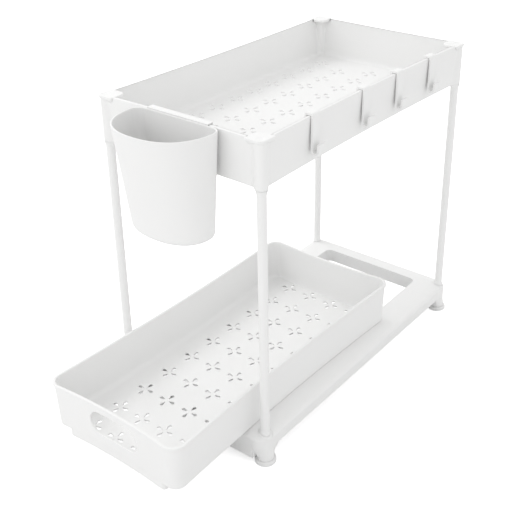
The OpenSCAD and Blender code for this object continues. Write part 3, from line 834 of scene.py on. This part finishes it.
# (share of the width, share of the rise) from the base's outline inwards
SHOULDER = ((0, 0), (0.04, 0.22), (0.12, 0.42), (0.27, 0.62), (0.5, 0.8), (0.75, 0.93), (1, 1))
COLLAR_R, COLLAR_LOW = 5.85, 32.0
# (radius, height over the frame's top)
COLLAR = ((7.75, -0.1), (7.4, 0), (6.9, 0.03), (6.4, 0.25), (6.05, 0.7), (COLLAR_R, 1.2))
LEG_FOOT_R, LEG_TOP_R, LEG_MARGIN = 9.4, 17.0, 0.35
LEG_LOW, LEG_RISE, LEG_TOP = 5.3, 16.5, 23.0
LEG_TURN = arc(48, 0, 352.5)


def base_depth(x, y):
    """How far a point of the +X +Y corner is in from the base's outline."""
    r = BASE_CORNER_R
    return -rounded_corner(x - BASE_HALF_W + r, y - BASE_HALF_L + r, r)


def base_top(x, y):
    """Height of the base frame's top, which is rounded down towards its outline."""
    share = min(max(base_depth(x, y) / SHOULDER_WIDTH, 0), 1)
    (a, low), (b, high) = next(step for step in zip(SHOULDER, SHOULDER[1:])
                               if share <= step[1][0])
    return SHOULDER_LOW + SHOULDER_RISE * (low + (high - low) * (share - a) / (b - a))


def leg_reach(a):
    """How far the leg may reach from the post's axis, up to LEG_TOP_R, and stay in the skirt."""
    reach = LEG_TOP_R
    while base_depth(POST[0] + reach * math.cos(a), POST[1] + reach * math.sin(a)) < LEG_MARGIN:
        reach -= 0.1
    return reach


def leg_ring(share):
    """A ring at a share of the leg's flare, from the foot up."""
    ring = []
    for a in LEG_TURN:
        r = LEG_FOOT_R + (leg_reach(a) - LEG_FOOT_R) * smooth_step(share)
        ring.append((POST[0] + r * math.cos(a), POST[1] + r * math.sin(a),
                     LEG_LOW + LEG_RISE * share))
    return ring


def make_leg(name, sx, sy):
    collar = [circle(POST, r, COLLAR_LOW, LEG_TURN) for r in (COLLAR_R, COLLAR[0][0])]
    for r, lift in COLLAR:
        collar.append([(x, y, base_top(x, y) + lift) for x, y, _ in circle(POST, r, 0, LEG_TURN)])
    leg = [leg_ring(i / 12) for i in range(13)]
    leg.append([(x, y, LEG_TOP) for x, y, _ in leg[-1]])
    shell = Shell()
    shell.loft(collar + collar[:1])
    ids = shell.loft(leg)
    shell.fan(ids[0], (*POST, LEG_LOW))
    shell.fan(ids[-1], (*POST, LEG_TOP))
    shell.mirror(sx, sy)
    return shell.build(name)


for sx, side in ((-1, "left"), (1, "right")):
    for sy, end in ((-1, "front"), (1, "back")):
        dress(make_leg(f"leg_{end}_{side}", sx, sy), "frame", "white_plastic")


# Stage: a pale floor that keeps the object's shadow, a white surround and two soft lamps.

FLOOR_HALF, FLOOR_Z = 12, -0.2 * MM
FLOOR_TONE, FLOOR_GLOW = 0.9, 0.62
WORLD_LIGHT, WORLD_SEEN = 0.95, 1.0
LAMP_AIM = (0, -0.05, 0.2)


def make_floor():
    mesh = bpy.data.meshes.new("floor")
    s = FLOOR_HALF
    mesh.from_pydata([(-s, -s, 0), (s, -s, 0), (s, s, 0), (-s, s, 0)], [], [(0, 1, 2, 3)])
    floor = bpy.data.objects.new("floor", mesh)
    scene.collection.objects.link(floor)
    floor.location.z = FLOOR_Z
    material, nodes, links = node_material("floor")
    diffuse = nodes.new("ShaderNodeBsdfDiffuse")
    diffuse.inputs[0].default_value = (FLOOR_TONE, FLOOR_TONE, FLOOR_TONE, 1)
    # Only the camera sees the glow, so it puts no light on the object.
    gain = nodes.new("ShaderNodeMath")
    gain.operation = "MULTIPLY"
    gain.inputs[1].default_value = FLOOR_GLOW
    links.new(nodes.new("ShaderNodeLightPath").outputs["Is Camera Ray"], gain.inputs[0])
    glow = nodes.new("ShaderNodeEmission")
    glow.inputs[0].default_value = (1, 1, 1, 1)
    links.new(gain.outputs[0], glow.inputs[1])
    both = nodes.new("ShaderNodeAddShader")
    links.new(diffuse.outputs[0], both.inputs[0])
    links.new(glow.outputs[0], both.inputs[1])
    links.new(both.outputs[0], nodes.new("ShaderNodeOutputMaterial").inputs[0])
    mesh.materials.append(material)


def make_world():
    """White where it is seen, straight or in gloss, and a little less as light."""
    world = bpy.data.worlds.new("world")
    scene.world = world
    world.use_nodes = True
    nodes, links = world.node_tree.nodes, world.node_tree.links
    nodes.clear()
    path = nodes.new("ShaderNodeLightPath")
    seen = path.outputs["Is Camera Ray"]
    for ray in ("Is Glossy Ray", "Is Transmission Ray"):
        either = nodes.new("ShaderNodeMath")
        either.operation = "MAXIMUM"
        links.new(seen, either.inputs[0])
        links.new(path.outputs[ray], either.inputs[1])
        seen = either.outputs[0]
    strength = nodes.new("ShaderNodeMapRange")
    strength.inputs["To Min"].default_value = WORLD_LIGHT
    strength.inputs["To Max"].default_value = WORLD_SEEN
    links.new(seen, strength.inputs["Value"])
    background = nodes.new("ShaderNodeBackground")
    background.inputs[0].default_value = (1, 1, 1, 1)
    links.new(strength.outputs["Result"], background.inputs[1])
    links.new(background.outputs[0], nodes.new("ShaderNodeOutputWorld").inputs[0])


def area_light(name, place, size, watts):
    data = bpy.data.lights.new(name, "AREA")
    data.shape = "DISK"
    data.size = size
    data.energy = watts
    lamp = bpy.data.objects.new(name, data)
    scene.collection.objects.link(lamp)
    lamp.location = place
    lamp.rotation_euler = (Vector(LAMP_AIM) - Vector(place)).to_track_quat("-Z", "Y").to_euler()


make_floor()
make_world()
area_light("key", (-1.6, 0.2, 2.2), 1.2, 12.2)
area_light("fill", (-0.6, -2.4, 1.3), 1.4, 5.5)

scene.view_settings.view_transform = "Standard"
